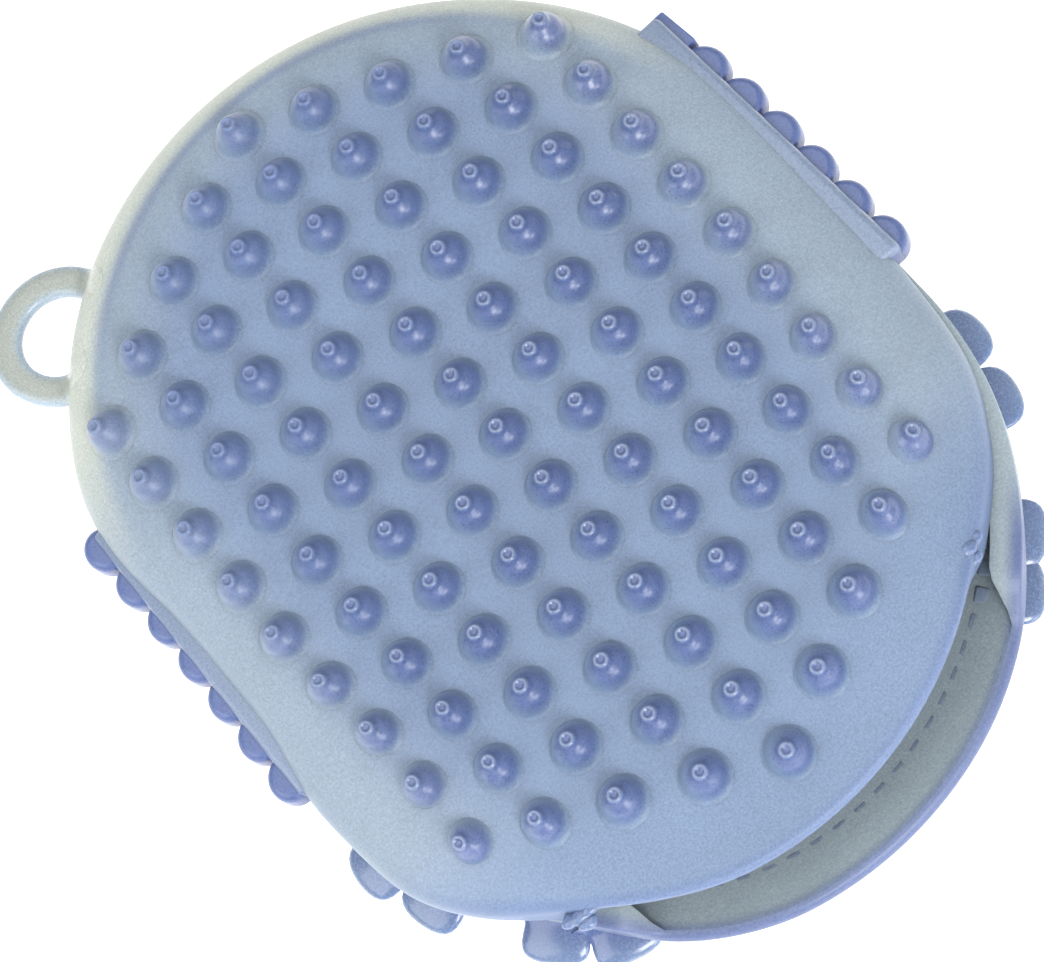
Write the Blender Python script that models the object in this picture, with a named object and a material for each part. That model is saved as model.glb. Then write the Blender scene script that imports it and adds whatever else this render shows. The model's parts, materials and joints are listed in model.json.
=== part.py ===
"""Two-sided jelly grooming mitt: a fine-nub half and a coarse half welded round the rim, with soft fingers
on the coarse side, a toothed comb along each side, a hanging loop and a mouth lip that lifts for the hand."""

import math

import bmesh
import bpy
from mathutils import Matrix, Vector

# Driving dimensions, in metres. +Y is the closed fingertip end, -Y the mouth, +Z the fine-nub side.
WIDTH = 0.127
LENGTH = 0.178
FRONT_SHORTER = 0.006
WALL = 0.0025
POCKET_HEIGHT = 0.014
FINGER_REACH = 0.0135
RIM_HALF_THICKNESS = 0.002
SHOULDER = 0.018
SHOULDER_SHARES = (0.0, 0.05, 0.17, 0.37, 0.65, 1.0)
SIDE_WALL = 0.005
POCKET_EDGE = 0.0007
GAP = 0.0003
FLUSH = 0.0001
CUT_OVERLAP = 0.001
CUT_REACH = 0.1
OUTLINE_STEPS = 28

NUB_PITCH_X = 0.01224
NUB_PITCH_Y = 0.0121
NUB_FIELD_Y = 0.0013
NUB_COLUMNS = 4
NUBS_IN_CENTRE_COLUMN = 13
NUB_HEIGHT = 0.0056
NUB_BASE_RADIUS = 0.0036
NUB_SINK = 0.0008
NUB_SIDES = 7
NUB_LEVELS = ((0.45, 0.80), (1.0, 0.36))

MOUTH_HALF_WIDTH = 0.040
MOUTH_INNER_Y = -0.055
BACK_MOUTH_SILL = 0.003
FLATTEN_FROM_Y = -0.035
FLATTEN_TO_Y = -0.064
FRONT_MOUTH_SHARE = 0.25
BACK_MOUTH_SHARE = 0.4
LIP_HINGE_Y = -0.0685
LIP_ROOT_RADIUS = 0.00115
LIP_ARC_STEPS = 24

FINGER_HALF_WIDTH = 0.0045
FINGER_FLATNESS = 0.5
FINGER_ROWS = 7
FINGER_ROW_PITCH = 0.017
FINGER_FIRST_ROW_Y = -0.047
FINGER_PITCH_X = 0.024
FINGERS_PER_ROW = (4, 3)
FINGER_SHAPE = ((1.0, 0.45), (0.95, 0.72), (0.72, 0.90), (0.36, 1.0))
FINGER_SIDES = 10

PADDLE_ROOT_RADIUS = 0.056
PADDLE_SPLAY = math.radians(40)
PADDLE_ANGLES = (-6.0, -16.0, -36.0, -46.0)
PADDLE_LENGTH = 0.0135

COMB_LENGTH = 0.062
COMB_CENTRE_Y = 0.0125
COMB_TEETH = 7
COMB_TOOTH_PITCH = 0.0089
COMB_ROOT_RADIUS = 0.0015
COMB_DEPTH = 0.003
TOOTH_REACH = 0.0032
TOOTH_HALF_WIDTH = 0.0040
TOOTH_HALF_DEPTH = 0.0024

LOOP_RADIUS = 0.012
LOOP_BAND = 0.0045
LOOP_HALF_THICKNESS = 0.0015
LOOP_ANGLE = math.radians(132.6)
LOOP_CENTRE_OUT = 0.0052
LOOP_SEGMENTS = 32

END_RADIUS = WIDTH / 2
CLOSED_ARC_Y = LENGTH / 2 - END_RADIUS
MOUTH_ARC_Y = -CLOSED_ARC_Y
BACK_Z = FINGER_REACH
PARTING_Z = BACK_Z + WALL + POCKET_HEIGHT / 2
FRONT_Z = PARTING_Z + POCKET_HEIGHT / 2 + WALL
SHOULDER_RISE = POCKET_HEIGHT / 2 + WALL - RIM_HALF_THICKNESS
FRONT_MOUTH_ARC_Y = MOUTH_ARC_Y + FRONT_SHORTER
FINGER_HINGE_Z = BACK_Z - GAP - FINGER_HALF_WIDTH * FINGER_FLATNESS

JELLY_BLUE = (0.36, 0.45, 0.62, 1.0)
JELLY_PALE = (0.55, 0.60, 0.60, 1.0)
JELLY_DEEP = (0.22, 0.30, 0.55, 1.0)


def clear_scene():
    for obj in list(bpy.data.objects):
        bpy.data.objects.remove(obj, do_unlink=True)


def new_collection(name):
    collection = bpy.data.collections.new(name)
    bpy.context.scene.collection.children.link(collection)
    return collection


def jelly(name, colour, roughness):
    material = bpy.data.materials.new(name)
    material.use_nodes = True
    shader = material.node_tree.nodes["Principled BSDF"]
    shader.inputs["Base Color"].default_value = colour
    shader.inputs["Roughness"].default_value = roughness
    shader.inputs["Metallic"].default_value = 0.0
    return material


def add_object(name, bm, collection, material=None):
    """Turns a bmesh into a named object with outward faces."""
    bmesh.ops.recalc_face_normals(bm, faces=bm.faces)
    mesh = bpy.data.meshes.new(name)
    bm.to_mesh(mesh)
    bm.free()
    obj = bpy.data.objects.new(name, mesh)
    collection.objects.link(obj)
    if material:
        mesh.materials.append(material)
    return obj


def make_cutter(obj):
    obj.hide_render = True
    obj.display_type = "WIRE"
    return obj


def boolean(obj, other, operation):
    modifier = obj.modifiers.new(operation.title() + "_" + other.name, "BOOLEAN")
    modifier.operation = operation
    modifier.object = other
    modifier.solver = "EXACT"


def box(name, low, high, collection):
    bm = bmesh.new()
    bmesh.ops.create_cube(bm, size=1.0)
    size = Vector(high) - Vector(low)
    centre = (Vector(high) + Vector(low)) / 2
    bmesh.ops.scale(bm, vec=size, verts=bm.verts)
    bmesh.ops.translate(bm, vec=centre, verts=bm.verts)
    return make_cutter(add_object(name, bm, collection))


def stadium(radius, closed_y, mouth_y):
    """Plan outline: two end arcs joined by straight sides, counter-clockwise."""
    points = []
    for centre_y, start in ((closed_y, 0.0), (mouth_y, math.pi)):
        for step in range(OUTLINE_STEPS + 1):
            angle = start + math.pi * step / OUTLINE_STEPS
            points.append((radius * math.cos(angle), centre_y + radius * math.sin(angle)))
    return points


def outline_face(bm, points, z):
    return bm.faces.new([bm.verts.new((x, y, z)) for x, y in points])


def shoulder_steps():
    """(inset, rise) steps that follow a quarter ellipse from the rim to the flat of the panel."""
    insets = [SHOULDER * part for part in SHOULDER_SHARES]
    rises = [SHOULDER_RISE * math.sqrt(1 - (1 - inset / SHOULDER) ** 2) for inset in insets]
    pairs = zip(zip(insets, rises), zip(insets[1:], rises[1:]))
    return [(b[0] - a[0], b[1] - a[1]) for a, b in pairs]


def mouth_flattening(y, share):
    """1 along the body of the mitt, falling smoothly to share at the mouth."""
    part = min(1.0, max(0.0, (FLATTEN_FROM_Y - y) / (FLATTEN_FROM_Y - FLATTEN_TO_Y)))
    return 1 - (1 - share) * part * part * (3 - 2 * part)


def pillow_half(outline, edge_height, foot, share):
    """A half pillow that stands on z = -foot, with a straight edge up to edge_height and a shoulder above it."""
    bm = bmesh.new()
    base = outline_face(bm, outline, 0.0)
    if base.normal.z < 0:
        base.normal_flip()
    grown = bmesh.ops.extrude_face_region(bm, geom=[base])["geom"]
    moved = [item for item in grown if isinstance(item, bmesh.types.BMVert)]
    top = [item for item in grown if isinstance(item, bmesh.types.BMFace)][0]
    bmesh.ops.translate(bm, vec=(0, 0, edge_height), verts=moved)
    for inset, rise in shoulder_steps():
        bmesh.ops.inset_region(bm, faces=[top], thickness=inset, depth=0.0)
        bmesh.ops.translate(bm, vec=(0, 0, rise), verts=top.verts)
    flat = edge_height + SHOULDER_RISE
    for vert in bm.verts:
        if vert.co.z > 0:
            vert.co.z = flat - (flat - vert.co.z) * mouth_flattening(vert.co.y, share)
        else:
            vert.co.z = -foot
    return bm


def stand(bm, sign, z):
    """Turns a half pillow to the front (+1) or to the back (-1) and moves its parting plane to z."""
    bmesh.ops.scale(bm, vec=(1, 1, sign), verts=bm.verts)
    bmesh.ops.translate(bm, vec=(0, 0, z), verts=bm.verts)


def shell_half(name, sign, mouth_y, share, material):
    """One moulded half: a pillow half with the pocket cut out of it."""
    body = pillow_half(stadium(END_RADIUS, CLOSED_ARC_Y, mouth_y), RIM_HALF_THICKNESS - GAP / 2, 0.0, share)
    stand(body, sign, PARTING_Z + sign * GAP / 2)
    half = add_object(name, body, parts, material)
    pocket = pillow_half(
        stadium(END_RADIUS - SIDE_WALL, CLOSED_ARC_Y, mouth_y), POCKET_EDGE, CUT_OVERLAP, share
    )
    for vert in pocket.verts:
        vert.co.z = min(vert.co.z, POCKET_HEIGHT / 2)
    stand(pocket, sign, PARTING_Z)
    boolean(half, make_cutter(add_object(name + "_pocket", pocket, cutters)), "DIFFERENCE")
    return half


def open_mouth(half, sign, height):
    """Opens the pocket wall between the two seam ends, out to height from the parting plane."""
    low, high = sorted((PARTING_Z - sign * CUT_OVERLAP, PARTING_Z + sign * height))
    corners = (-MOUTH_HALF_WIDTH, -CUT_REACH, low), (MOUTH_HALF_WIDTH, MOUTH_INNER_Y, high)
    boolean(half, box(half.name + "_mouth", *corners, cutters), "DIFFERENCE")


def nub_places():
    """Centres of the staggered nub field, columns along Y."""
    for column in range(-NUB_COLUMNS, NUB_COLUMNS + 1):
        count = NUBS_IN_CENTRE_COLUMN - abs(column)
        for index in range(count):
            yield column * NUB_PITCH_X, NUB_FIELD_Y + (index - (count - 1) / 2) * NUB_PITCH_Y


def surface_drop(x, y, mouth_y):
    """How far the outer face lies below the flat of the panel at (x, y)."""
    arc_y = CLOSED_ARC_Y if y > CLOSED_ARC_Y else mouth_y if y < mouth_y else y
    inset = END_RADIUS - math.hypot(x, y - arc_y)
    if inset >= SHOULDER:
        return 0.0
    part = 1 - max(inset, 0.0) / SHOULDER
    return SHOULDER_RISE * (1 - math.sqrt(1 - part * part))


def nub_field(name, places):
    """All nubs of one piece as one operand: each is a turned dome sunk a little into the panel."""
    bm = bmesh.new()
    levels = [(-NUB_SINK, 1.0)] + [(NUB_HEIGHT * high, wide) for high, wide in NUB_LEVELS]
    for x, y in places:
        drop = surface_drop(x, y, FRONT_MOUTH_ARC_Y) * mouth_flattening(y, FRONT_MOUTH_SHARE)
        rings = []
        for high, wide in levels:
            place = Matrix.Translation((x, y, FRONT_Z - drop + high))
            made = bmesh.ops.create_circle(
                bm, segments=NUB_SIDES, radius=NUB_BASE_RADIUS * wide, matrix=place
            )
            rings.append(made["verts"])
        for lower, upper in zip(rings, rings[1:]):
            bmesh.ops.bridge_loops(bm, edges=list(loop_edges(lower) | loop_edges(upper)))
        bmesh.ops.contextual_create(bm, geom=rings[0])
        bmesh.ops.contextual_create(bm, geom=rings[-1])
    return make_cutter(add_object(name, bm, cutters))


def loop_edges(verts):
    members = set(verts)
    return {edge for vert in verts for edge in vert.link_edges if set(edge.verts) <= members}


def fine_nub_half(material):
    half = shell_half("fine_nub_half", 1, FRONT_MOUTH_ARC_Y, FRONT_MOUTH_SHARE, material)
    open_mouth(half, 1, POCKET_HEIGHT / 2)
    boolean(half, nub_field("front_nubs", nub_places()), "UNION")
    end = LIP_HINGE_Y + LIP_ROOT_RADIUS + GAP
    room = box("lip_room", (-CUT_REACH, -CUT_REACH, 0.0), (CUT_REACH, end, CUT_REACH), cutters)
    boolean(half, room, "DIFFERENCE")


def lip_outline():
    """Crescent between the hinge line and the front half's mouth edge."""
    reach = MOUTH_HALF_WIDTH - GAP
    corner = math.asin(reach / END_RADIUS)
    turns = [corner * (2 * step / LIP_ARC_STEPS - 1) for step in range(LIP_ARC_STEPS + 1)]
    arc = [(END_RADIUS * math.sin(turn), FRONT_MOUTH_ARC_Y - END_RADIUS * math.cos(turn)) for turn in turns]
    points = [(x, min(y, LIP_HINGE_Y - GAP)) for x, y in arc]
    return points + [(reach, LIP_HINGE_Y), (-reach, LIP_HINGE_Y)]


def extruded(points, low, high):
    bm = bmesh.new()
    face = outline_face(bm, points, low)
    grown = bmesh.ops.extrude_face_region(bm, geom=[face])["geom"]
    moved = [item for item in grown if isinstance(item, bmesh.types.BMVert)]
    bmesh.ops.translate(bm, vec=(0, 0, high - low), verts=moved)
    return bm


def cylinder(radius, length, centre, axis, segments=12):
    bm = bmesh.new()
    turn = Vector((0, 0, 1)).rotation_difference(Vector(axis)).to_matrix().to_4x4()
    spin = Matrix.Rotation(math.pi / segments, 4, "Z")
    matrix = Matrix.Translation(centre) @ turn @ spin
    bmesh.ops.create_cone(
        bm, cap_ends=True, segments=segments, radius1=radius, radius2=radius, depth=length, matrix=matrix
    )
    return bm


def mouth_lip(material):
    """The free edge of the front panel, rounded along the line it bends on."""
    plate = extruded(lip_outline(), FRONT_Z - WALL + FLUSH, FRONT_Z - FLUSH)
    lip = add_object("mouth_lip", plate, parts, material)
    width = 2 * (MOUTH_HALF_WIDTH - GAP)
    root = cylinder(LIP_ROOT_RADIUS, width, (0, LIP_HINGE_Y, FRONT_Z - WALL / 2), (1, 0, 0))
    boolean(lip, make_cutter(add_object("lip_root", root, cutters)), "UNION")
    last = [place for place in nub_places() if place[1] < LIP_HINGE_Y]
    boolean(lip, nub_field("lip_nubs", last), "UNION")
    low = (-CUT_REACH, LIP_HINGE_Y + FLUSH, FRONT_Z - FLUSH)
    trim = box("lip_trim", low, (CUT_REACH, 0.0, CUT_REACH), cutters)
    boolean(lip, trim, "DIFFERENCE")


def coarse_half(material):
    half = shell_half("coarse_half", -1, MOUTH_ARC_Y, BACK_MOUTH_SHARE, material)
    open_mouth(half, -1, POCKET_HEIGHT / 2 - BACK_MOUTH_SILL)


def finger_profile(length):
    """(radius, z) from the rounded root over the hinge line at z = 0 down to the flat on the tip."""
    root = FINGER_HALF_WIDTH * FINGER_FLATNESS
    dome = [(FINGER_HALF_WIDTH * math.cos(a), root * math.sin(a)) for a in (math.pi / 2, math.pi / 4, 0.0)]
    return dome + [(FINGER_HALF_WIDTH * wide, -length * down) for wide, down in FINGER_SHAPE]


def finger_mesh(length):
    """A turned finger, flattened so that it bends about its wide axis, +X."""
    bm = bmesh.new()
    verts = [bm.verts.new((radius, 0, z)) for radius, z in finger_profile(length)]
    edges = [bm.edges.new(pair) for pair in zip(verts, verts[1:])]
    full_turn = {"cent": (0, 0, 0), "axis": (0, 0, 1), "angle": 2 * math.pi, "steps": FINGER_SIDES}
    bmesh.ops.spin(bm, geom=verts + edges, use_merge=True, **full_turn)
    bmesh.ops.remove_doubles(bm, verts=bm.verts, dist=FLUSH / 5)
    rim = [edge for edge in bm.edges if edge.is_boundary]
    bmesh.ops.contextual_create(bm, geom=rim)
    bmesh.ops.scale(bm, vec=(1, FINGER_FLATNESS, 1), verts=bm.verts)
    return bm


def place_finger(name, length, position, turn, splay, material):
    """Puts the finger's origin on the line it bends about."""
    finger = add_object(name, finger_mesh(length), parts, material)
    finger.matrix_world = (
        Matrix.Translation(position) @ Matrix.Rotation(turn, 4, "Z") @ Matrix.Rotation(splay, 4, "X")
    )


def coarse_fingers(material):
    for row in range(FINGER_ROWS):
        y = FINGER_FIRST_ROW_Y + row * FINGER_ROW_PITCH
        count = FINGERS_PER_ROW[row % 2]
        for index in range(count):
            x = (index - (count - 1) / 2) * FINGER_PITCH_X
            name = f"coarse_finger_{row + 1}{'abcd'[index]}"
            place_finger(name, FINGER_HINGE_Z, (x, y, FINGER_HINGE_Z), 0.0, 0.0, material)


def corner_paddles(material):
    """Splayed fingers that reach past the rim at the two mouth corners."""
    for side, label in ((1, "right"), (-1, "left")):
        for number, degrees in enumerate(PADDLE_ANGLES):
            angle = math.radians(degrees)
            x = side * PADDLE_ROOT_RADIUS * math.cos(angle)
            y = MOUTH_ARC_Y + PADDLE_ROOT_RADIUS * math.sin(angle)
            outward = math.atan2(y - MOUTH_ARC_Y, x)
            name = f"{label}_paddle_{number + 1}"
            position = (x, y, FINGER_HINGE_Z)
            place_finger(name, PADDLE_LENGTH, position, outward - math.pi / 2, PADDLE_SPLAY, material)


def comb_strip(name, side, material):
    """A side rib with rounded teeth, its origin on the line it bends about."""
    hinge_x = END_RADIUS + GAP + COMB_ROOT_RADIUS
    outer_x = END_RADIUS + GAP + COMB_DEPTH
    rib = cylinder(COMB_ROOT_RADIUS, COMB_LENGTH, (0, 0, 0), (0, 1, 0))
    comb = add_object(name, rib, parts, material)
    comb.location = (side * hinge_x, COMB_CENTRE_Y, PARTING_Z)
    half = COMB_LENGTH / 2
    height = COMB_ROOT_RADIUS - FLUSH
    left, right = sorted((side * hinge_x, side * outer_x))
    ends = (COMB_CENTRE_Y - half, COMB_CENTRE_Y + half)
    low = (left, ends[0], PARTING_Z - height)
    blade = box(name + "_blade", low, (right, ends[1], PARTING_Z + height), cutters)
    boolean(comb, blade, "UNION")
    boolean(comb, comb_teeth(name + "_teeth", side, hinge_x, outer_x), "UNION")


def comb_teeth(name, side, hinge_x, outer_x):
    """Seven rounded lobes, cut off where they would foul the rim as the comb bends."""
    bm = bmesh.new()
    for number in range(COMB_TEETH):
        y = COMB_CENTRE_Y + (number - (COMB_TEETH - 1) / 2) * COMB_TOOTH_PITCH
        place = Matrix.Translation((side * outer_x, y, PARTING_Z))
        shape = Matrix.Diagonal((TOOTH_REACH, TOOTH_HALF_WIDTH, TOOTH_HALF_DEPTH, 1))
        bmesh.ops.create_uvsphere(bm, u_segments=10, v_segments=6, radius=1.0, matrix=place @ shape)
    lobes = make_cutter(add_object(name, bm, cutters))
    left, right = sorted((side * hinge_x, 0.0))
    inner = box(name + "_trim", (left, -CUT_REACH, 0.0), (right, CUT_REACH, CUT_REACH), cutters)
    boolean(lobes, inner, "DIFFERENCE")
    return lobes


def ring_prism(outer, inner, half_height):
    """A flat ring standing on its middle plane."""
    bm = bmesh.new()
    rings = [bmesh.ops.create_circle(bm, segments=LOOP_SEGMENTS, radius=r)["verts"] for r in (outer, inner)]
    bmesh.ops.bridge_loops(bm, edges=list(loop_edges(rings[0]) | loop_edges(rings[1])))
    bmesh.ops.translate(bm, vec=(0, 0, -half_height), verts=bm.verts)
    grown = bmesh.ops.extrude_face_region(bm, geom=list(bm.faces))["geom"]
    moved = [item for item in grown if isinstance(item, bmesh.types.BMVert)]
    bmesh.ops.translate(bm, vec=(0, 0, 2 * half_height), verts=moved)
    return bm


def hanging_loop(material):
    """The flat loop at the closed end's corner: its two arms end on the line it bends about."""
    out = Vector((math.cos(LOOP_ANGLE), math.sin(LOOP_ANGLE), 0))
    along = Vector((-out.y, out.x, 0))
    hinge = Vector((0, CLOSED_ARC_Y, PARTING_Z)) + out * (END_RADIUS + GAP + LOOP_HALF_THICKNESS)
    centre_out = LOOP_CENTRE_OUT - GAP - LOOP_HALF_THICKNESS
    frame = Matrix.Translation(hinge) @ Matrix.Rotation(LOOP_ANGLE, 4, "Z")
    ring = ring_prism(LOOP_RADIUS, LOOP_RADIUS - LOOP_BAND, LOOP_HALF_THICKNESS)
    bmesh.ops.translate(ring, vec=(centre_out, 0, 0), verts=ring.verts)
    loop = add_object("hanging_loop", ring, parts, material)
    loop.matrix_world = frame
    back = box("loop_back", (-CUT_REACH,) * 3, (0.0, CUT_REACH, CUT_REACH), cutters)
    back.matrix_world = frame
    boolean(loop, back, "DIFFERENCE")
    outer = math.sqrt(LOOP_RADIUS**2 - centre_out**2)
    inner = math.sqrt((LOOP_RADIUS - LOOP_BAND) ** 2 - centre_out**2)
    for number, side in enumerate((1, -1)):
        middle = hinge + along * side * (outer + inner) / 2
        bm = cylinder(LOOP_HALF_THICKNESS, outer - inner - FLUSH, middle, along)
        root = make_cutter(add_object(f"loop_root_{number + 1}", bm, cutters))
        boolean(loop, root, "UNION")


clear_scene()
parts = new_collection("curry_comb")
cutters = new_collection("cutters")
blue = jelly("jelly_blue", JELLY_BLUE, 0.4)
pale = jelly("jelly_pale", JELLY_PALE, 0.45)
deep = jelly("jelly_deep", JELLY_DEEP, 0.3)
fine_nub_half(blue)
mouth_lip(blue)
coarse_half(pale)
coarse_fingers(deep)
corner_paddles(deep)
comb_strip("right_comb_strip", 1, blue)
comb_strip("left_comb_strip", -1, blue)
hanging_loop(pale)
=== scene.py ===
import json
import math

import bmesh
import bpy
from mathutils import Matrix, Vector, noise


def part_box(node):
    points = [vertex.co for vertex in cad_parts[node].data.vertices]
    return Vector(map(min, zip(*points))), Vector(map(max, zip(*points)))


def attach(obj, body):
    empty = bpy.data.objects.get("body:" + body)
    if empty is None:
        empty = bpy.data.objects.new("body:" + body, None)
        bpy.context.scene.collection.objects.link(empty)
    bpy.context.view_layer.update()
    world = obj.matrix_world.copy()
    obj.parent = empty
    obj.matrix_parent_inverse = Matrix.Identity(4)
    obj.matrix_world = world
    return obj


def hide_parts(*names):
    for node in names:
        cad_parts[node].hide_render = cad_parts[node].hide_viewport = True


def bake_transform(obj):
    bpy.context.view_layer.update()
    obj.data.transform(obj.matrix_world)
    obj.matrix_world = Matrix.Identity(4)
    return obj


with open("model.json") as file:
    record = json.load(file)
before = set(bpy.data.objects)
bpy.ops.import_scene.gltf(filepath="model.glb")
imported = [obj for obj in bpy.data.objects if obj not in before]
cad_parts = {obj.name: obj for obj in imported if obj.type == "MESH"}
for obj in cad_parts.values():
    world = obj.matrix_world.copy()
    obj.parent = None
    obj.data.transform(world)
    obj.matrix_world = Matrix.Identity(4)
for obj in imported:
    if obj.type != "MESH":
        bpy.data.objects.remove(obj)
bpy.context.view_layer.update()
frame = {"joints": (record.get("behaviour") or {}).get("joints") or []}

# ---------------------------------------------------------------- sizes, the main ones read from the frame and the rest given
MM = 0.001
back_low, back_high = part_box("coarse_half")
front_low, front_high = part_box("fine_nub_half")
lip_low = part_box("mouth_lip")[0]
JOINTS = {joint["name"]: joint for joint in frame["joints"]}
BODIES = {joint["child"]: joint for joint in frame["joints"]}

END_RADIUS = back_high.x
CLOSED_ARC_Y = back_high.y - END_RADIUS
BACK_ARC_Y = back_low.y + END_RADIUS
FRONT_ARC_Y = lip_low.y + END_RADIUS
PARTING_Z = (front_low.z + back_high.z) / 2
HALF_DEPTH = PARTING_Z - back_low.z
FRONT_Z = PARTING_Z + HALF_DEPTH
NUB_HEIGHT = front_high.z - FRONT_Z
SHEET = 2.5 * MM
RIM_HALF = 2.0 * MM
SHOULDER = 18 * MM
SHOULDER_RISE = HALF_DEPTH - RIM_HALF
WELD_WIDTH = 5.0 * MM
SEAM_GAP = 0.12 * MM
FRONT_MOUTH_SHARE = 0.25
BACK_MOUTH_SHARE = 0.4
MOUTH_FROM = math.radians(36)
MOUTH_TO = math.radians(44)
LIP_Y = JOINTS["mouth_lip_lift"]["pos_m"][1]

NUB_PITCH_X = 12.24 * MM
NUB_PITCH_Y = 12.1 * MM
NUB_FIELD_Y = 1.3 * MM
NUB_COLUMNS = 4
CENTRE_NUBS = 13

ARC_STEPS = 96
SIDE_CUTS = 27

# (radius in mm, share of the nub's height) from the middle of the tip out to the foot.
NUB_PROFILE = (
    (0.0, 0.93), (0.34, 0.93), (0.62, 0.95), (0.78, 0.985), (0.95, 1.0), (1.14, 0.99), (1.34, 0.955), (1.47, 0.89),
    (1.58, 0.81), (1.86, 0.735), (2.35, 0.665), (2.84, 0.575), (3.24, 0.46), (3.54, 0.34), (3.74, 0.225),
    (3.92, 0.125), (4.2, 0.05), (4.6, 0.0), (5.0, -0.04),
)
NUB_STEPS = 28
NUB_CORE_STRENGTH = 0.74

# (share of the half width, share of the length) from the root's fillet to the tip.
FINGER_PROFILE = (
    (1.42, 0.10), (1.16, 0.0), (1.02, -0.09), (0.96, -0.20), (0.95, -0.32), (0.98, -0.46), (1.0, -0.60),
    (0.985, -0.72), (0.92, -0.82), (0.80, -0.895), (0.62, -0.95), (0.40, -0.985), (0.20, -0.998), (0.0, -1.0),
)
FINGER_STEPS = 32
FINGER_HALF_WIDTH = 4.5 * MM

# Bearing in degrees and reach of each splayed paddle.
PADDLE_LIE = {
    "right_paddle_1": (0, 14.2 * MM), "right_paddle_2": (-13, 13.4 * MM),
    "right_paddle_3": (-42, 11.6 * MM), "right_paddle_4": (-38, 11.2 * MM),
    "left_paddle_1": (178, 12.2 * MM), "left_paddle_2": (194, 10.8 * MM),
    "left_paddle_3": (222, 8.6 * MM), "left_paddle_4": (252, 7.4 * MM),
}
PADDLE_RISE = math.radians(78)
PADDLE_WIDER = 1.3
PADDLE_THINNER = 0.75
PADDLE_LOWER = 1.3 * MM

COMB_TEETH = 7
TOOTH_PITCH = 8.9 * MM
# Keyed by side: 1 for the right comb, -1 for the left.
LEDGE_TOP = {1: PARTING_Z + 4.8 * MM, -1: PARTING_Z + 3.4 * MM}
LEDGE_OUT = {1: 65.0 * MM, -1: 65.2 * MM}
LEDGE_FLARE = {1: -0.02, -1: -0.04}
TOOTH_REACH = {1: 2.8 * MM, -1: 3.5 * MM}

LOOP_STEPS = 72
LOOP_RADIUS = 13.0 * MM
LOOP_BAND = 5.6 * MM
LOOP_CENTRE_OUT = 1.6 * MM
LOOP_SHIFT = Vector((0.4 * MM, 2.5 * MM, 0))

GRIP_ROWS = 3
GRIP_PITCH = 4.3 * MM
GRIP_INSET = 2.3 * MM
GRIP_SPAN = math.radians(62)
GRIP_HALF = 1.3 * MM

# How the soft mitt lies: sideways lean of its two ends, and where its rim is pushed out or tucked in.
CLOSED_LEAN = Vector((-2.4 * MM, -0.5 * MM, 0))
MOUTH_LEAN = 2.2 * MM
LEFT_TUCK = 2.6 * MM
LEFT_RAISE = 1.4 * MM
BACK_DROP = 1.2 * MM
SQUARE_CORNER = 2.6 * MM
NUBS_DRAWN_IN = 2.4 * MM

CAMERA_TILT = math.radians(24.1)
CAMERA_SWING = math.radians(4.25)
CAMERA_ROLL = math.radians(-41.6)
CAMERA_DISTANCE = 0.755
CAMERA_LENS = 160.4


def smooth(low, high, value):
    """0 below low, 1 above high, an S curve between them. low may be the larger."""
    part = min(1.0, max(0.0, (value - low) / (high - low)))
    return part * part * (3 - 2 * part)


def mix(a, b, part):
    return a + (b - a) * part


# ---------------------------------------------------------------- mesh helpers
def finished(name, bm, material, body=None, angle=50, paints=(), flex=None):
    """Turns a bmesh into a shaded object whose place is in its mesh.

    paints are (attribute, rule) pairs, and flex is the rule that bends the piece as the soft mitt lies.
    """
    mesh = bpy.data.meshes.new(name)
    bm.to_mesh(mesh)
    bm.free()
    for attribute_name, rule in paints:
        layer = mesh.attributes.new(attribute_name, "FLOAT", "POINT")
        layer.data.foreach_set("value", [rule(vert.co) for vert in mesh.vertices])
    for vert in mesh.vertices:
        vert.co += (flex or rim_flex)(*vert.co)
    piece = bpy.data.objects.new(name, mesh)
    bpy.context.scene.collection.objects.link(piece)
    mesh.materials.append(material)
    mesh.shade_smooth()
    mesh.set_sharp_from_angle(angle=math.radians(angle))
    if body:
        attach(piece, body)
    return piece


def hump(value, middle, reach):
    """1 at the middle, falling to 0 at reach on either side."""
    return smooth(reach, 0, abs(value - middle))


def below_nubs(z):
    """0 at the height of the front panel, 1 from just above the parting down."""
    return smooth(FRONT_Z, PARTING_Z + 2.5 * MM, z)


def lean(y):
    """The soft mitt lies a little bent: its closed end sits to the left and its mouth to the right."""
    sideways = mix(CLOSED_LEAN.x, MOUTH_LEAN, smooth(88 * MM, 10 * MM, y))
    return Vector((sideways, CLOSED_LEAN.y * smooth(45 * MM, 88 * MM, y), 0))


def left_corner(x, y):
    """1 at the left mouth corner, 0 away from it."""
    return smooth(-16 * MM, -40 * MM, x) * smooth(-38 * MM, -60 * MM, y)


def rim_flex(x, y, z):
    """The rim and the back follow the lean; the left side bulges and its mouth corner is tucked in."""
    left = smooth(-28 * MM, -58 * MM, x)
    tucked = smooth(-42 * MM, -56 * MM, y) * smooth(-84 * MM, -66 * MM, y) * smooth(-20 * MM, -44 * MM, x)
    bulge = left * (1.4 * MM * hump(y, 45 * MM, 26 * MM) + 2.4 * MM * hump(y, -24 * MM, 22 * MM))
    drop = BACK_DROP * smooth(-64 * MM, -86 * MM, y)
    push = Vector((LEFT_TUCK * tucked - bulge, LEFT_RAISE * left_corner(x, y) - drop, 0))
    return below_nubs(z) * (lean(y) + push)


def side_flex(x, y, z):
    """The side combs only follow the lean."""
    return below_nubs(z) * lean(y)


def nub_flex(x, y, z):
    """The nub field is drawn in at the mouth corners and stretched a little towards the closed end."""
    drawn = smooth(28 * MM, 56 * MM, abs(x)) * smooth(4 * MM, -30 * MM, y)
    along = 0.9 * MM * drawn + 1.6 * MM * smooth(12 * MM, 62 * MM, y)
    return Vector((-math.copysign(NUBS_DRAWN_IN, x) * drawn, along, 0))


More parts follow.
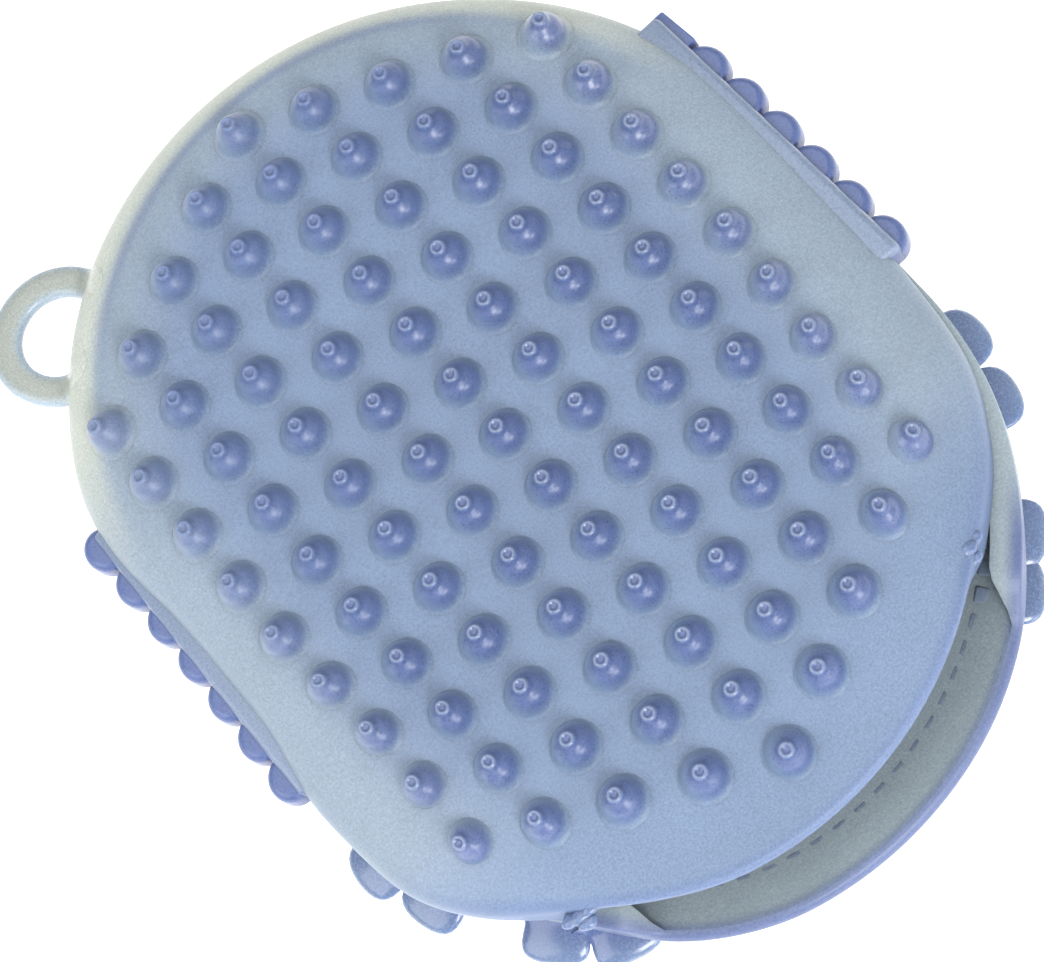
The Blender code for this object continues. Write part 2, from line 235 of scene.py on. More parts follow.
def no_flex(x, y, z):
    """For pieces that stay where the frame has them."""
    return Vector((0, 0, 0))


def front_flex(x, y, z):
    """The front panel follows the rim except at the mouth, where its corners are squarer than an arc."""
    flex = rim_flex(x, y, z) * smooth(-52 * MM, -12 * MM, y)
    corner = smooth(-22 * MM, -46 * MM, y) * smooth(-74 * MM, -56 * MM, y) * smooth(36 * MM, 58 * MM, abs(x))
    flex.x += math.copysign(SQUARE_CORNER, x) * corner
    flex.y += LEFT_RAISE * left_corner(x, y)
    return flex


def new_verts(made):
    return [item for item in made["geom"] if isinstance(item, bmesh.types.BMVert)]


def new_edges(made):
    return [item for item in made["geom"] if isinstance(item, bmesh.types.BMEdge)]


def add_copy(bm, mesh, matrix):
    """Adds a mesh to the bmesh and puts the new part in place."""
    before = len(bm.verts)
    bm.from_mesh(mesh)
    bm.verts.ensure_lookup_table()
    bmesh.ops.transform(bm, matrix=matrix, verts=bm.verts[before:])


# ---------------------------------------------------------------- plan of the mitt
def arc_centre_y(y, mouth_arc_y):
    return min(CLOSED_ARC_Y, max(mouth_arc_y, y))


def rim_distance(x, y, mouth_arc_y):
    """Distance inwards from the plan outline."""
    return END_RADIUS - math.hypot(x, y - arc_centre_y(y, mouth_arc_y))


def shoulder_drop(inset):
    """Quarter ellipse from the flat of a panel down to the rim."""
    if inset >= SHOULDER:
        return 0.0
    part = 1 - max(0.0, inset) / SHOULDER
    return SHOULDER_RISE * (1 - math.sqrt(max(0.0, 1 - part * part)))


def mouth_keep(x, y, share):
    """The shoulder flattens out towards the mouth, between the two ends of the weld."""
    return mix(1.0, share, smooth(-38 * MM, -62 * MM, y) * smooth(54 * MM, 36 * MM, abs(x)))


def front_sag(x, y):
    """The soft front panel lies slightly crowned, and its free edge droops."""
    crown = 0.9 * MM * (1 - (x / END_RADIUS) ** 2) - 0.5 * MM
    droop = 5.5 * MM * max(0.0, (-58 * MM - y) / (26 * MM)) ** 2
    ripple = 0.35 * MM * noise.noise(Vector((x, y, 0)) * 28)
    return crown + ripple - droop


def front_surface(x, y):
    """Height of the front panel's outer face."""
    inset = rim_distance(x, y, FRONT_ARC_Y)
    flat = FRONT_Z + front_sag(x, y) * smooth(0, SHOULDER, inset + 4 * MM)
    return flat - shoulder_drop(inset) * mouth_keep(x, y, FRONT_MOUTH_SHARE)


def back_surface(x, y):
    """Height of the back panel's outer face."""
    inset = rim_distance(x, y, BACK_ARC_Y)
    return back_low.z + shoulder_drop(inset) * mouth_keep(x, y, BACK_MOUTH_SHARE)


# ---------------------------------------------------------------- the two welded halves
def plan_ring(bm):
    """The first ring of a half. Each vertex keeps its direction and its share of the way up the straight side."""
    layers = [bm.verts.layers.float.new(name) for name in ("way_x", "way_y", "along")]
    turn = Matrix.Rotation(math.pi / (2 * ARC_STEPS), 4, "Z")
    bmesh.ops.create_circle(bm, segments=2 * ARC_STEPS, radius=1.0, matrix=turn)
    for vert in bm.verts:
        closed = vert.co.y > 0
        vert[layers[0]], vert[layers[1]], vert[layers[2]] = vert.co.x, vert.co.y, float(closed)
        vert.co.y += 1.0 if closed else -1.0
    sides = [edge for edge in bm.edges if edge.verts[0].co.y * edge.verts[1].co.y < 0]
    made = bmesh.ops.subdivide_edges(bm, edges=sides, cuts=SIDE_CUTS)
    for vert in [item for item in made["geom_inner"] if isinstance(item, bmesh.types.BMVert)]:
        vert[layers[0]], vert[layers[1]] = math.copysign(1.0, vert.co.x), 0.0
        vert[layers[2]] = (vert.co.y + 1.0) / 2
    return layers


def mouth_open(way_x, way_y, along):
    """1 across the mouth, where the half has no wall, and 0 round the rest."""
    if along > 0 or way_y >= 0:
        return 0.0
    return 1 - smooth(MOUTH_FROM, MOUTH_TO, abs(math.atan2(way_x, -way_y)))


def half_rows():
    """Rows of (inset, kind, share) from the panel's middle out over the rim and back in under it."""
    outer = [61, 54, 46, 38, 31, 25, 21, 18, 16, 14, 12.2, 10.5, 9, 7.6, 6.3, 5.1, 4, 3.1, 2.3, 1.6, 1, 0.5, 0.15]
    rows = [(inset * MM, "face", 0.0) for inset in outer]
    rows += [(0.0, "wall", share) for share in (0.0, 0.25, 0.5, 0.75, 0.92)]
    rows += [(0.35 * MM, "seam", 0.0), (WELD_WIDTH, "seam", 1.0)]
    inner = [5.3, 6, 7.2, 8.6, 10.5, 13, 16, 21, 31, 46, 61]
    return rows + [(inset * MM, "under", 0.0) for inset in inner]


def half_point(way, row, front):
    """Where one vertex of a half lies: a mix of the walled form and the open form at the mouth."""
    inset, kind, share = row
    sign = 1 if front else -1
    opened = mouth_open(*way)
    own_arc = FRONT_ARC_Y if front else BACK_ARC_Y
    surface = front_surface if front else back_surface
    mouth_share = FRONT_MOUTH_SHARE if front else BACK_MOUTH_SHARE
    edge = SHEET / 2 if front else SHEET / 2 + 0.25 * MM

    def plan(inset_now, arc_y):
        reach = END_RADIUS - inset_now
        return way[0] * reach, way[1] * reach + mix(arc_y, CLOSED_ARC_Y, way[2])

    x, y = plan(inset, own_arc)
    rim_x, rim_y = plan(0.0, own_arc)
    rim_z = surface(rim_x, rim_y)
    seam_z = PARTING_Z + sign * SEAM_GAP
    if kind == "face":
        walled = Vector((x, y, surface(x, y)))
    elif kind == "wall":
        walled = Vector((rim_x, rim_y, mix(rim_z, seam_z, share)))
    elif kind == "seam":
        walled = Vector((x, y, seam_z))
    else:
        hollow = shoulder_drop(inset - WELD_WIDTH) * mouth_keep(x, y, mouth_share)
        ceiling = surface(x, y) - sign * SHEET
        tallest = PARTING_Z + sign * (0.7 * MM + SHOULDER_RISE - hollow)
        pick = min if front else max
        walled = Vector((x, y, pick(ceiling, tallest)))
    if opened == 0:
        return walled
    if kind == "face" and inset >= edge:
        free = Vector((x, y, surface(x, y)))
    elif kind == "under":
        spread = mix(edge, 61 * MM, (inset - 5.3 * MM) / (55.7 * MM))
        free_x, free_y = plan(spread, own_arc)
        free = Vector((free_x, free_y, surface(free_x, free_y) - sign * 2 * edge))
    else:
        turn = edge_turn(inset, kind, share, edge)
        free_x, free_y = plan(edge * (1 - math.sin(turn)), own_arc)
        top = surface(*plan(edge, own_arc))
        free = Vector((free_x, free_y, top - sign * edge * (1 - math.cos(turn))))
    return walled.lerp(free, opened)


def edge_turn(inset, kind, share, edge):
    """How far round the mouth's rounded edge a row lies, from 0 on the outer face to pi on the inner one."""
    if kind == "face":
        return math.pi * 0.32 * (1 - inset / edge)
    if kind == "wall":
        return math.pi * mix(0.36, 0.78, share / 0.92)
    return math.pi * mix(0.86, 0.96, share)


def welded_half(name, front, material):
    """One moulded half as a single closed skin, worked out from the middle of its panel by extruding rings."""
    bm = bmesh.new()
    layers = plan_ring(bm)
    rows = half_rows()
    ring = list(bm.edges)
    for number, row in enumerate(rows):
        if number:
            made = bmesh.ops.extrude_edge_only(bm, edges=ring)
            verts, ring = new_verts(made), new_edges(made)
        else:
            verts = list(bm.verts)
            first = list(ring)
        for vert in verts:
            vert.co = half_point([vert[layer] for layer in layers], row, front)
    for loop in (first, ring):
        bmesh.ops.contextual_create(bm, geom=loop)
    bmesh.ops.recalc_face_normals(bm, faces=bm.faces)
    arc_y = FRONT_ARC_Y if front else BACK_ARC_Y
    paints = [("from_rim", lambda p: rim_distance(p.x, p.y, arc_y) / MM)]
    return finished(name, bm, material, angle=60, paints=paints, flex=front_flex if front else rim_flex)


# ---------------------------------------------------------------- materials
def group(name, outputs, inputs):
    tree = bpy.data.node_groups.new(name, "ShaderNodeTree")
    for kind, socket in inputs:
        tree.interface.new_socket(name=socket, in_out="INPUT", socket_type=kind)
    for kind, socket in outputs:
        tree.interface.new_socket(name=socket, in_out="OUTPUT", socket_type=kind)
    return tree, tree.nodes.new("NodeGroupInput"), tree.nodes.new("NodeGroupOutput")


def node(tree, kind, **settings):
    made = tree.nodes.new("ShaderNode" + kind)
    for key, value in settings.items():
        if key in made.inputs:
            made.inputs[key].default_value = value
        else:
            setattr(made, key, value)
    return made


def link(tree, source, target):
    tree.links.new(source, target)


def maths(tree, operation, a, b):
    made = tree.nodes.new("ShaderNodeMath")
    made.operation = operation
    for place, value in enumerate((a, b)):
        if isinstance(value, (int, float)):
            made.inputs[place].default_value = value
        else:
            tree.links.new(value, made.inputs[place])
    return made.outputs[0]


def step(tree, value, low, high):
    """Smooth step of a value between low and high, falling where low is the larger."""
    made = tree.nodes.new("ShaderNodeMapRange")
    made.interpolation_type = "SMOOTHSTEP"
    rising = low < high
    made.inputs["From Min"].default_value = min(low, high)
    made.inputs["From Max"].default_value = max(low, high)
    made.inputs["To Min"].default_value = 0.0 if rising else 1.0
    made.inputs["To Max"].default_value = 1.0 if rising else 0.0
    tree.links.new(value, made.inputs["Value"])
    return made.outputs["Result"]


def blend_colour(tree, part, first, second):
    made = tree.nodes.new("ShaderNodeMix")
    made.data_type = "RGBA"
    for place, value in ((0, part), (6, first), (7, second)):
        if isinstance(value, (int, float)):
            made.inputs[place].default_value = value
        elif isinstance(value, tuple):
            made.inputs[place].default_value = (*value, 1.0)
        else:
            tree.links.new(value, made.inputs[place])
    return made.outputs[2]


def srgb(red, green, blue):
    """A screen colour, 0 to 255, as linear light."""
    def channel(value):
        value /= 255
        return value / 12.92 if value <= 0.04045 else ((value + 0.055) / 1.055) ** 2.4
    return channel(red), channel(green), channel(blue)


JELLY_BODY = srgb(108, 126, 152)
JELLY_PALE = srgb(140, 152, 160)
JELLY_CREAM = srgb(172, 178, 170)
JELLY_INSIDE = srgb(136, 148, 154)
JELLY_DEEP = srgb(76, 92, 136)
JELLY_EDGE = srgb(66, 80, 128)


def frosted_group():
    """Fine frosting of moulded jelly: a cloudy tint, a speckle and a grain to bump with."""
    tree, entry, out = group(
        "frosting",
        [("NodeSocketColor", "Colour"), ("NodeSocketFloat", "Grain"), ("NodeSocketFloat", "Roughness")],
        [("NodeSocketColor", "Colour"), ("NodeSocketFloat", "Cloud"), ("NodeSocketFloat", "Roughness")],
    )
    place = node(tree, "TexCoord").outputs["Object"]
    cloud = node(tree, "TexNoise", Scale=38.0, Detail=3.0, Roughness=0.55)
    speckle = node(tree, "TexNoise", Scale=2500.0, Detail=2.0, Roughness=0.6)
    grain = node(tree, "TexNoise", Scale=3200.0, Detail=2.0, Roughness=0.7)
    for texture in (cloud, speckle, grain):
        link(tree, place, texture.inputs["Vector"])
    lift = maths(tree, "SUBTRACT", cloud.outputs["Fac"], 0.5)
    lift = maths(tree, "MULTIPLY", lift, entry.outputs["Cloud"])
    fleck = maths(tree, "MULTIPLY", maths(tree, "SUBTRACT", speckle.outputs["Fac"], 0.5), 0.8)
    value = maths(tree, "ADD", maths(tree, "ADD", lift, fleck), 1.0)
    shade = node(tree, "HueSaturation")
    link(tree, entry.outputs["Colour"], shade.inputs["Color"])
    link(tree, value, shade.inputs["Value"])
    link(tree, shade.outputs["Color"], out.inputs["Colour"])
    link(tree, grain.outputs["Fac"], out.inputs["Grain"])
    rough = maths(tree, "ADD", entry.outputs["Roughness"], maths(tree, "MULTIPLY", fleck, 0.6))
    link(tree, rough, out.inputs["Roughness"])
    return tree


FROSTING = frosted_group()


def jelly(name, roughness, coat, coat_roughness, glow, bump):
    """A soft translucent moulding. Returns the material, its tree and the frosting node."""
    material = bpy.data.materials.new(name)
    material.use_nodes = True
    tree = material.node_tree
    shader = tree.nodes["Principled BSDF"]
    shader.inputs["Metallic"].default_value = 0.0
    shader.inputs["IOR"].default_value = 1.45
    shader.inputs["Coat Weight"].default_value = coat
    shader.inputs["Coat Roughness"].default_value = coat_roughness
    shader.inputs["Subsurface Weight"].default_value = glow
    shader.inputs["Subsurface Scale"].default_value = 3.0 * MM
    shader.inputs["Subsurface Radius"].default_value = (0.7, 0.85, 1.0)
    frost = tree.nodes.new("ShaderNodeGroup")
    frost.node_tree = FROSTING
    frost.inputs["Cloud"].default_value = 0.22
    frost.inputs["Roughness"].default_value = roughness
    link(tree, frost.outputs["Colour"], shader.inputs["Base Color"])
    link(tree, frost.outputs["Roughness"], shader.inputs["Roughness"])
    relief = node(tree, "Bump", Strength=bump, Distance=0.12 * MM)
    link(tree, frost.outputs["Grain"], relief.inputs["Height"])
    link(tree, relief.outputs["Normal"], shader.inputs["Normal"])
    return material, tree, frost


def attribute(tree, name):
    return node(tree, "Attribute", attribute_name=name).outputs["Fac"]


def axis_value(tree, axis):
    place = node(tree, "TexCoord").outputs["Object"]
    parts = node(tree, "SeparateXYZ")
    link(tree, place, parts.inputs[0])
    return parts.outputs[axis]


def front_jelly():
    """Blue where two layers lie over the pocket, pale over the shoulder, cream where the rim is fused; painted shade
    in the crease at the closed end and a painted highlight on the nub tip rings.
    """
    material, tree, frost = jelly("front_jelly", 0.46, 0.0, 0.2, 0.35, 0.5)
    inset = attribute(tree, "from_rim")
    y = axis_value(tree, "Y")
    closed = step(tree, y, 24 * MM, 60 * MM)
    mouth = step(tree, y, -34 * MM, -62 * MM)
    shoulder = maths(tree, "MULTIPLY", step(tree, inset, 24, 7), maths(tree, "SUBTRACT", 1.0, mouth))
    colour = blend_colour(tree, maths(tree, "MULTIPLY", shoulder, 0.6), JELLY_BODY, JELLY_PALE)
    # Painted shade: a deep blue line along the crease inside the rim, towards the closed end.
    crease_shade = maths(tree, "MULTIPLY", step(tree, inset, 4.6, 6.0), step(tree, inset, 8.6, 6.2))
    crease_shade = maths(tree, "MULTIPLY", crease_shade, maths(tree, "MULTIPLY", step(tree, y, 50 * MM, 80 * MM), 0.45))
    colour = blend_colour(tree, crease_shade, colour, JELLY_DEEP)
    fused = maths(tree, "MULTIPLY", step(tree, inset, 7.5, 3.2), closed)
    colour = blend_colour(tree, fused, colour, JELLY_CREAM)
    lip = maths(tree, "MULTIPLY", step(tree, inset, 2.6, 0.4), mouth)
    colour = blend_colour(tree, maths(tree, "MULTIPLY", lip, 0.4), colour, JELLY_DEEP)
    colour = blend_colour(tree, attribute(tree, "core"), colour, JELLY_EDGE)
    # Painted highlight: the ring round each nub tip is mixed towards pale, strongest at the mouth.
    colour = blend_colour(tree, maths(tree, "MULTIPLY", attribute(tree, "tip_ring_highlight"), 0.3), colour, JELLY_PALE)
    link(tree, colour, frost.inputs["Colour"])
    gloss = attribute(tree, "gloss")
    shader = tree.nodes["Principled BSDF"]
    link(tree, maths(tree, "MULTIPLY", gloss, 0.3), shader.inputs["Coat Weight"])
    relief = shader.inputs["Normal"].links[0].from_node
    domed = attribute(tree, "domed")
    link(tree, maths(tree, "SUBTRACT", 0.5, maths(tree, "MULTIPLY", domed, 0.48)), relief.inputs["Strength"])
    link(tree, maths(tree, "SUBTRACT", 0.46, maths(tree, "MULTIPLY", gloss, 0.12)), frost.inputs["Roughness"])
    return material


def back_jelly():
    """A single layer reads cream, and its thick rim reads blue."""
    material, tree, frost = jelly("back_jelly", 0.45, 0.12, 0.3, 0.35, 0.4)
    inset = attribute(tree, "from_rim")
    rim = maths(tree, "MULTIPLY", step(tree, inset, 3.4, 0.6), step(tree, axis_value(tree, "Y"), -56 * MM, -68 * MM))
    colour = blend_colour(tree, maths(tree, "MULTIPLY", rim, 0.8), JELLY_INSIDE, JELLY_EDGE)
    link(tree, colour, frost.inputs["Colour"])
    return material


def finger_jelly():
    """Smooth soft finger with fine lines drawn along it."""
    material, tree, frost = jelly("finger_jelly", 0.24, 0.4, 0.12, 0.3, 0.08)
    around, along = attribute(tree, "around"), attribute(tree, "along")
    place = node(tree, "CombineXYZ")
    link(tree, maths(tree, "MULTIPLY", around, 34.0), place.inputs[0])
    link(tree, maths(tree, "MULTIPLY", along, 1.6), place.inputs[1])
    lines = node(tree, "TexNoise", Scale=1.0, Detail=3.0, Roughness=0.7)
    link(tree, place.outputs[0], lines.inputs["Vector"])
    streak = maths(tree, "MULTIPLY", step(tree, lines.outputs["Fac"], 0.52, 0.72), 0.15)
    colour = blend_colour(tree, maths(tree, "MULTIPLY", step(tree, along, 0.0, 0.9), 0.6), JELLY_DEEP, JELLY_BODY)
    colour = blend_colour(tree, streak, colour, JELLY_PALE)
    colour = blend_colour(tree, maths(tree, "MULTIPLY", step(tree, along, 0.86, 1.0), 0.3), colour, JELLY_PALE)
    link(tree, colour, frost.inputs["Colour"])
    return material


def comb_jelly():
    """Pale on the ledge, deep blue down its side and in the teeth, with paler upper rims."""
    material, tree, frost = jelly("comb_jelly", 0.36, 0.3, 0.15, 0.3, 0.3)
    z = axis_value(tree, "Z")
    colour = blend_colour(tree, step(tree, z, PARTING_Z - 1 * MM, PARTING_Z + 2.6 * MM), JELLY_EDGE, JELLY_DEEP)
    ledge = step(tree, z, PARTING_Z + 2.4 * MM, PARTING_Z + 3.4 * MM)
    colour = blend_colour(tree, ledge, colour, srgb(112, 126, 148))
    link(tree, colour, frost.inputs["Colour"])
    return material


def loop_jelly():
    """Cream in the middle of the band, with a painted cool, bright highlight towards its rounded edges."""
    material, tree, frost = jelly("loop_jelly", 0.35, 0.3, 0.15, 0.4, 0.15)
    # Painted highlight: the band's rounded edges are mixed towards bluish white.
    colour = blend_colour(tree, attribute(tree, "band_edge_highlight"), srgb(142, 148, 142), srgb(150, 164, 176))
    colour = blend_colour(tree, attribute(tree, "on_rim"), colour, JELLY_CREAM)
    link(tree, colour, frost.inputs["Colour"])
    return material


def cell_jelly():
    material, tree, frost = jelly("cell_jelly", 0.4, 0.15, 0.2, 0.3, 0.2)
    colour = blend_colour(tree, 0.45, JELLY_INSIDE, JELLY_DEEP)
    link(tree, colour, frost.inputs["Colour"])
    return material


def lump_jelly():
    material, tree, frost = jelly("lump_jelly", 0.32, 0.3, 0.12, 0.3, 0.1)
    colour = blend_colour(tree, 0.5, JELLY_BODY, JELLY_DEEP)
    link(tree, colour, frost.inputs["Colour"])
    return material


# ---------------------------------------------------------------- fine nubs
def nub_places():
    """Centres of the staggered nub field, columns along Y."""
    for column in range(-NUB_COLUMNS, NUB_COLUMNS + 1):
        count = CENTRE_NUBS - abs(column)
        for index in range(count):
            yield column * NUB_PITCH_X, NUB_FIELD_Y + (index - (count - 1) / 2) * NUB_PITCH_Y


def nub_mesh():
    """A turned dome with a flared foot, a blunt nipple and a small dimple in its tip."""
    bm = bmesh.new()
    verts = [bm.verts.new((radius * MM, 0, high * NUB_HEIGHT)) for radius, high in NUB_PROFILE]
    edges = [bm.edges.new(pair) for pair in zip(verts, verts[1:])]
    turn = {"cent": (0, 0, 0), "axis": (0, 0, 1), "angle": 2 * math.pi, "steps": NUB_STEPS}
    bmesh.ops.spin(bm, geom=verts + edges, use_merge=True, **turn)
    bmesh.ops.remove_doubles(bm, verts=bm.verts, dist=0.005 * MM)
    bmesh.ops.contextual_create(bm, geom=[edge for edge in bm.edges if edge.is_boundary])
    bmesh.ops.recalc_face_normals(bm, faces=bm.faces)
    mesh = bpy.data.meshes.new("nub")
    bm.to_mesh(mesh)
    bm.free()
    return mesh


def surface_turn(x, y):
    """Turn that stands a nub square to the panel."""
    reach = 2 * MM
    slope_x = (front_surface(x + reach, y) - front_surface(x - reach, y)) / (2 * reach)
    slope_y = (front_surface(x, y + reach) - front_surface(x, y - reach)) / (2 * reach)
    normal = Vector((-slope_x, -slope_y, 1)).normalized()
    return Vector((0, 0, 1)).rotation_difference(normal).to_matrix().to_4x4()


def fine_nubs(material):
    one = nub_mesh()
    bm = bmesh.new()
    places = list(nub_places())
    for x, y in places:
        add_copy(bm, one, Matrix.Translation((x, y, front_surface(x, y))) @ surface_turn(x, y))
    local = [vert.co.copy() for vert in one.vertices] * len(places)
    for vert, point in zip(bm.verts, local):
        foot = smooth(2.4 * MM, 3.9 * MM, math.hypot(point.x, point.y))
        vert.co.z = mix(vert.co.z, front_surface(vert.co.x, vert.co.y) + point.z, foot)
    rules = (nub_core, tip_ring_highlight, nub_gloss, nub_gloss)
    # ring carries the tip-ring mask of the painted highlight.
    core, ring, gloss, domed = (iter([rule(point) for point in local]) for rule in rules)

    def shine(p):
        """Full at the mouth, fading towards the far end, where the nubs look dull; sets the coat gloss and the
        strength of the painted tip-ring highlight.
        """
        return mix(1.0, 0.1, smooth(-10 * MM, 80 * MM, p.y - 0.8 * p.x))

    paints = [
        ("from_rim", lambda p: rim_distance(p.x, p.y, FRONT_ARC_Y) / MM),
        ("core", lambda p: next(core) * mix(1.0, 0.7, smooth(0, 95 * MM, p.y - p.x))),
        ("tip_ring_highlight", lambda p: next(ring) * shine(p)),
        ("domed", lambda p: next(domed)),
        ("gloss", lambda p: next(gloss) * shine(p)),
    ]
    return finished("fine_nubs", bm, material, angle=70, paints=paints, flex=nub_flex)


def nub_core(point):
    """Deep blue inside the dome, a little to the mouth side of the tip, fading out at the foot."""
    away = math.hypot(point.x - 0.5 * MM, point.y + 0.9 * MM)
    return NUB_CORE_STRENGTH * smooth(4.4 * MM, 2.2 * MM, away) * smooth(0.02, 0.36, point.z / NUB_HEIGHT)


def nub_gloss(point):
    """1 over the dome, 0 at the foot."""
    return smooth(0.05, 0.35, point.z / NUB_HEIGHT)


def tip_ring_highlight(point):
    """1 on the small raised ring round the tip, where a pale highlight is painted."""
    radius = math.hypot(point.x, point.y)
    return smooth(0.94, 0.985, point.z / NUB_HEIGHT) * smooth(0.55 * MM, 0.8 * MM, radius)


# ---------------------------------------------------------------- coarse fingers and corner paddles
def finger_mesh(length):
    """A petal: turned, flattened, and thinner towards the tip."""
    bm = bmesh.new()
    verts = [bm.verts.new((radius * FINGER_HALF_WIDTH, 0, high * length)) for radius, high in FINGER_PROFILE]
    edges = [bm.edges.new(pair) for pair in zip(verts, verts[1:])]
    turn = {"cent": (0, 0, 0), "axis": (0, 0, 1), "angle": 2 * math.pi, "steps": FINGER_STEPS}
    bmesh.ops.spin(bm, geom=verts + edges, use_merge=True, **turn)
    bmesh.ops.remove_doubles(bm, verts=bm.verts, dist=0.005 * MM)
    bmesh.ops.contextual_create(bm, geom=[edge for edge in bm.edges if edge.is_boundary])
    for vert in bm.verts:
        down = max(0.0, -vert.co.z / length)
        vert.co.y *= mix(0.52, 0.36, down)
    bmesh.ops.recalc_face_normals(bm, faces=bm.faces)
    return bm


def finger(name, material):
    """One finger of the coarse side, rooted in the back panel at its hinge's place."""
    pivot = Vector(BODIES[name]["pos_m"])
    root = Vector((pivot.x, pivot.y, back_surface(pivot.x, pivot.y)))
    paddle = name in PADDLE_LIE
    if paddle:
        bearing, reach = PADDLE_LIE[name]
        turn = Matrix.Rotation(math.radians(bearing - 90), 4, "Z") @ Matrix.Rotation(PADDLE_RISE, 4, "X")
    else:
        across = Vector(BODIES[name]["axis"])
        reach = root.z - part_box(name)[0].z
        turn = Matrix.Rotation(math.atan2(across.y, across.x), 4, "Z")
    bm = finger_mesh(reach)
    if paddle:
        bmesh.ops.scale(bm, vec=(PADDLE_WIDER, PADDLE_THINNER, 1), verts=bm.verts)
        root.z -= PADDLE_LOWER
    layer_around = bm.verts.layers.float.new("around")
    layer_along = bm.verts.layers.float.new("along")
    for vert in bm.verts:
        vert[layer_around] = vert.co.x / FINGER_HALF_WIDTH
        vert[layer_along] = max(0.0, -vert.co.z / reach)
    bmesh.ops.transform(bm, matrix=Matrix.Translation(root) @ turn, verts=bm.verts)
    piece = finished(name + "_petal", bm, material, angle=80, flex=no_flex)
    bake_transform(piece)
    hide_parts(name)
    return piece


# ---------------------------------------------------------------- side combs
def bevelled_box(bm, low, high, width):
    """Adds a box with rounded edges."""
    size, centre = Vector(high) - Vector(low), (Vector(high) + Vector(low)) / 2
    place = Matrix.Translation(centre) @ Matrix.Diagonal((*size, 1))
    made = bmesh.ops.create_cube(bm, size=1.0, matrix=place)
    edges = list({edge for vert in made["verts"] for edge in vert.link_edges})
    bmesh.ops.bevel(
        bm, geom=edges, offset=width, segments=3, profile=0.5, affect="EDGES", material=-1, clamp_overlap=True
    )


def comb(name, material):
    """A straight rib whose top is a ledge beside the shoulder, with rounded teeth along its outer face."""
    low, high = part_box(name)
    side = 1 if low.x > 0 else -1
    middle_y = (low.y + high.y) / 2
    bm = bmesh.new()
    outer = LEDGE_OUT[side]
    xs = sorted((side * (END_RADIUS - 7 * MM), side * outer))
    bar_low = (xs[0], low.y, PARTING_Z - 2.3 * MM)
    bevelled_box(bm, bar_low, (xs[1], high.y - 1.5 * MM, LEDGE_TOP[side]), 1.1 * MM)
    for number in range(COMB_TEETH):
        y = middle_y + (number - (COMB_TEETH - 1) / 2) * TOOTH_PITCH
        if side == 1 and number == COMB_TEETH - 1:
            stub_low = (outer - 4 * MM, y - 4.4 * MM, PARTING_Z - 2.9 * MM)
            bevelled_box(bm, stub_low, (outer + 1.5 * MM, high.y - 0.6 * MM, PARTING_Z + 2.5 * MM), 0.4 * MM)
            continue
        place = Matrix.Translation((side * (outer + TOOTH_REACH[side] - 3.8 * MM), y, PARTING_Z - 0.2 * MM))
        shape = Matrix.Diagonal((3.8 * MM, 4.2 * MM, 2.7 * MM, 1))
        made = bmesh.ops.create_cone(
            bm, cap_ends=True, segments=40, radius1=1.0, radius2=1.0, depth=2.0, matrix=place @ shape
        )
        rims = {
            edge for vert in made["verts"] for edge in vert.link_edges
            if abs(edge.verts[0].co.z - edge.verts[1].co.z) < 1e-6
        }
        bmesh.ops.bevel(
            bm, geom=list(rims), offset=1.5 * MM, segments=6, profile=0.5, affect="EDGES", material=-1
        )
    for vert in bm.verts:
        vert.co.x += side * LEDGE_FLARE[side] * (vert.co.y - middle_y)
    bmesh.ops.recalc_face_normals(bm, faces=bm.faces)
    piece = finished(name + "_rib", bm, material, angle=40, flex=side_flex)
    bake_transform(piece)
    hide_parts(name)
    return piece


